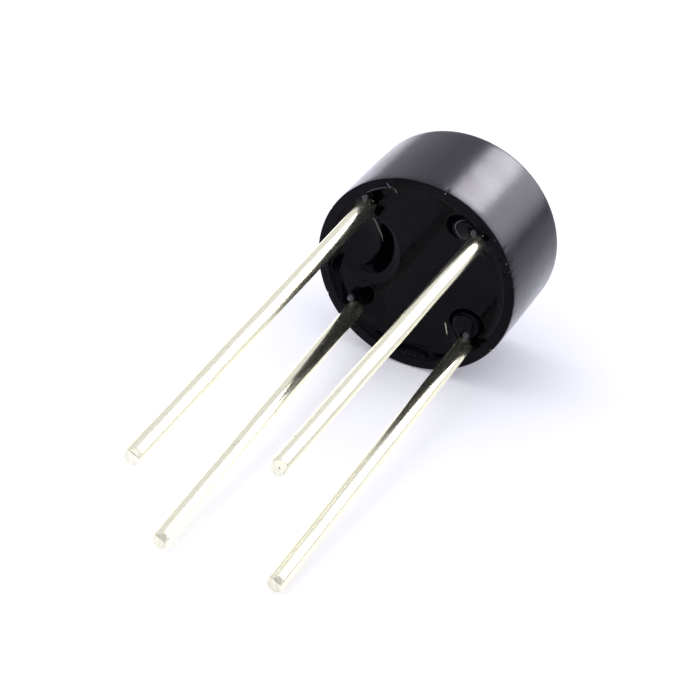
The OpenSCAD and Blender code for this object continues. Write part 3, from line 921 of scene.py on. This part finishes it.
# a thin thread on the tip's edge, coloured dark as painted shade
def makeBurrShade(lead):
    start, end, size = burrShades["places"][lead["name"]]
    span = np.radians(np.linspace(start, end, burrShades["steps"]) + lead["pinch"])
    places = np.round(span / (2 * math.pi) * wire["segments"]).astype(int) % wire["segments"]
    path = lead["tipRing"][places] + np.array((0.0, 0.0, size + burrShades["inset"]))
    radii = size * np.sin(np.linspace(0.15, math.pi - 0.15, len(path)))
    strand("burrShade_" + lead["name"], path, radii, plain["burr"], burrShades["flatten"])


path = onResin(refine(fibre["path"]), fibre["lift"])
strand(fibre["name"], path, tapered(fibre, path, fibreTaper), plain["fibre"], fibre["flatten"])
makeRimMarks()
# grey beads whose colour paints the reflection by each lead's root
makeBeads("resinBeadPaintedReflection", beads["greyReflection"], plain["bead"])
makeBeads("resinBlobDarkReflection", beads["black"], plain["black"])
makeBeads("beadDot", beads["dots"], plain["dot"])
for lead in leads:
    makeBurrShade(lead)
# the painted reflections, drawn as thin pale lines on the resin
for line in reflectionStreaks["lines"]:
    path = onResin(refine(line["path"]), reflectionStreaks["lift"])
    strand(line["name"], path, tapered(line, path, streakTaper), plain["edge"], reflectionStreaks["flatten"])
print("small marks made")

# polarity signs, printed on the closed end over each lead's corner
signs = dict(reach=2.35, bar=0.95, width=0.15, thick=0.008, sunk=0.01, waveHeight=0.16)


def barOutline(centre, length, width):
    outline = []
    for side in (1, -1):
        for a in np.linspace(-math.pi / 2, math.pi / 2, 7):
            x = side * (length / 2 - width / 2 + width / 2 * math.cos(a))
            outline.append((centre[0] + x, centre[1] + side * width / 2 * math.sin(a)))
    return np.array(outline)


def crossOutline(centre, length, width):
    h, w = length / 2, width / 2
    corners = [
        (w, h), (w, w), (h, w), (h, -w), (w, -w), (w, -h),
        (-w, -h), (-w, -w), (-h, -w), (-h, w), (-w, w), (-w, h),
    ]
    return np.array([(centre[0] + x, centre[1] + y) for x, y in corners])


def waveOutline(centre, length, width):
    t = np.linspace(-1, 1, 33)
    x, y = t * length / 2, -signs["waveHeight"] * length * np.sin(math.pi * t)
    slope = -signs["waveHeight"] * math.pi * 2 * np.cos(math.pi * t)
    size = np.sqrt(1 + slope ** 2)
    upper = np.column_stack([x - slope / size * width / 2, y + 1 / size * width / 2])
    lower = np.column_stack([x + slope / size * width / 2, y - 1 / size * width / 2])
    return np.vstack([upper, lower[::-1]]) + np.array(centre)


def signPlate(name, lead, makeOutline):
    corner = np.array(lead["at"])
    centre = corner / np.linalg.norm(corner) * signs["reach"]
    outline = makeOutline(centre, signs["bar"], signs["width"])
    n = len(outline)
    low = np.column_stack([outline, np.full(n, cup["height"] - signs["sunk"])])
    high = np.column_stack([outline, np.full(n, cup["height"] + signs["thick"])])
    faces = [tuple(range(n)), tuple(n + i for i in range(n))[::-1]]
    faces += [(i, n + i, n + (i + 1) % n, (i + 1) % n) for i in range(n)]
    return addPiece(name, np.vstack([low, high]), faces, [plain["ink"]], (), 30.0)


signPlate("signPlus", leads[0], crossOutline)
signPlate("signMinus", leads[1], barOutline)
signPlate("signWaveLow", leads[2], waveOutline)
signPlate("signWaveHigh", leads[3], waveOutline)
print("polarity signs made")

studio = dict(
    # the white table: its glow to the eye and, from right to left, to gloss, weaker on the right as painted
    # shade
    floorSize=3.0, floorWhite=colour(0.90, 0.90, 0.915), floorDim=colour(0.70, 0.70, 0.71),
    floorFar=colour(0.06, 0.06, 0.07), floorGlow=0.19, glossGlow=(0.12, 0.82), dimSide=(-0.016, 0.006),
    tableEnd=(-0.030, -0.045),
    # the room: its plain level, and what gloss sees of it
    ambient=0.92, ambientColour=colour(0.95, 0.955, 1.07), white=colour(1, 1, 1),
    band=0.36, bandTop=(0.05, 0.15), overhead=0.82, nearRoom=1.15,
    dark=0.02, darkSide=(0.02, -0.30), darkTop=(0.34, 0.50), darkEdge=(-0.24, 0.02),
    glowTo=(0.785, -0.44, 0.44), glowEdge=(0.915, 0.999), glow=3.8,
)
lamps = [
    dict(name="softbox", toward=(0.77, -0.17, 0.615), away=0.30, size=0.13, power=0.46,
         tint=(0.98, 0.96, 1.0), glossOnly=True),
    dict(name="overheadFill", toward=(-0.10, 0.44, 0.89), away=0.5, size=0.50, power=0.54,
         tint=(1.0, 0.99, 0.97), glossOnly=False),
]


def makeFloor():
    half = studio["floorSize"] / 2
    corners = [(-half, -half, 0), (half, -half, 0), (half, half, 0), (-half, half, 0)]
    mesh = bpy.data.meshes.new("floor")
    mesh.from_pydata(corners, [], [(0, 1, 2, 3)])
    floor = bpy.data.objects.new("floor", mesh)
    bpy.context.scene.collection.objects.link(floor)
    material = bpy.data.materials.new("whiteTable")
    material.use_nodes = True
    tree = material.node_tree
    tree.nodes.clear()
    out = tree.nodes.new("ShaderNodeOutputMaterial")
    paths = tree.nodes.new("ShaderNodeLightPath")
    gloss = paths.outputs["Is Glossy Ray"]
    place = addNode(tree, "ShaderNodeTexCoord").outputs["Object"]
    spot = addNode(tree, "ShaderNodeSeparateXYZ", None, Vector=place)
    # gloss sees the table dimmer on the right, a painted shade, and dark past its near end
    farGloss = times(tree, remap(tree, spot.outputs["X"], *studio["tableEnd"], 0.0, 1.0), gloss)
    rightGloss = times(tree, remap(tree, spot.outputs["Y"], *studio["dimSide"], 1.0, 0.0), gloss)
    white = mixColours(tree, rightGloss, studio["floorWhite"], studio["floorDim"])
    paint = mixColours(tree, farGloss, white, studio["floorFar"])
    diffuse = addNode(tree, "ShaderNodeBsdfDiffuse", None, Color=paint)
    seen = times(tree, paths.outputs["Is Camera Ray"], studio["floorGlow"])
    side = remap(tree, spot.outputs["Y"], *studio["dimSide"], *studio["glossGlow"])
    shiny = times(tree, maths(tree, "SUBTRACT", gloss, farGloss), side)
    strength = plus(tree, seen, shiny)
    glow = addNode(tree, "ShaderNodeEmission", None, Color=studio["ambientColour"], Strength=strength)
    both = tree.nodes.new("ShaderNodeAddShader")
    tree.links.new(diffuse.outputs[0], both.inputs[0])
    tree.links.new(glow.outputs[0], both.inputs[1])
    tree.links.new(both.outputs[0], out.inputs["Surface"])
    mesh.materials.append(material)


def makeSurroundings():
    world = bpy.data.worlds.new("surroundings")
    bpy.context.scene.world = world
    world.use_nodes = True
    tree = world.node_tree
    tree.nodes.clear()
    out = tree.nodes.new("ShaderNodeOutputWorld")
    background = tree.nodes.new("ShaderNodeBackground")
    tree.links.new(background.outputs[0], out.inputs["Surface"])
    paths = tree.nodes.new("ShaderNodeLightPath")
    seen = paths.outputs["Is Camera Ray"]
    direction = addNode(tree, "ShaderNodeTexCoord").outputs["Generated"]
    # what gloss sees: a pale room, dimmer at the horizon, with a dark doorway and one bright glow
    parts = addNode(tree, "ShaderNodeSeparateXYZ", None, Vector=direction)
    levels = (studio["band"], studio["overhead"])
    room = remap(tree, parts.outputs["Z"], *studio["bandTop"], *levels, "SMOOTHSTEP")
    nearSide = remap(tree, parts.outputs["X"], *studio["darkSide"], 0.0, 1.0, "SMOOTHSTEP")
    room = mixValues(tree, nearSide, room, studio["nearRoom"])
    below = remap(tree, parts.outputs["Z"], *studio["darkTop"], 1.0, 0.0, "SMOOTHSTEP")
    beside = remap(tree, parts.outputs["Y"], *studio["darkEdge"], 0.0, 1.0, "SMOOTHSTEP")
    room = mixValues(tree, times(tree, nearSide, times(tree, below, beside)), room, studio["dark"])
    nearGlow = vectorMaths(tree, "DOT_PRODUCT", direction, studio["glowTo"]).outputs["Value"]
    room = plus(tree, room, remap(tree, nearGlow, *studio["glowEdge"], 0.0, studio["glow"], "SMOOTHSTEP"))
    strength = mixValues(tree, paths.outputs["Is Glossy Ray"], studio["ambient"], room)
    strength = mixValues(tree, seen, strength, 1.0)
    tint = mixColours(tree, seen, studio["ambientColour"], studio["white"])
    tree.links.new(tint, background.inputs["Color"])
    tree.links.new(strength, background.inputs["Strength"])


def addLamp(name, toward, away, size, power, tint, glossOnly):
    light = bpy.data.lights.new(name, "AREA")
    light.shape = "DISK"
    light.size = size
    light.energy = power
    light.color = tint
    lamp = bpy.data.objects.new(name, light)
    bpy.context.scene.collection.objects.link(lamp)
    toward = Vector(toward).normalized()
    lamp.location = rimCentre + toward * away
    lamp.rotation_euler = (-toward).to_track_quat("-Z", "Y").to_euler()
    lamp.visible_diffuse = not glossOnly
    lamp.visible_glossy = glossOnly


view = dict(
    place=(-0.085447, -0.034539, 0.057035), ahead=(0.8074, 0.3211, -0.4950), up=(0.4067, 0.3048, 0.8612),
    lens=138.86, sensor=36.0, clip=(0.001, 10.0),
)


def makeCamera():
    data = bpy.data.cameras.new("viewCamera")
    data.lens = view["lens"]
    data.sensor_width = view["sensor"]
    data.sensor_fit = "HORIZONTAL"
    data.clip_start, data.clip_end = view["clip"]
    camera = bpy.data.objects.new("viewCamera", data)
    bpy.context.scene.collection.objects.link(camera)
    ahead = Vector(view["ahead"]).normalized()
    side = ahead.cross(Vector(view["up"])).normalized()
    top = side.cross(ahead)
    matrix = camera.matrix_world.copy()
    for row in range(3):
        matrix[row][0] = side[row]
        matrix[row][1] = top[row]
        matrix[row][2] = -ahead[row]
        matrix[row][3] = view["place"][row]
    camera.matrix_world = matrix
    bpy.context.scene.camera = camera


makeFloor()
makeSurroundings()
for lamp in lamps:
    addLamp(**lamp)
makeCamera()
bpy.context.scene.view_settings.view_transform = "Standard"
print("studio made")
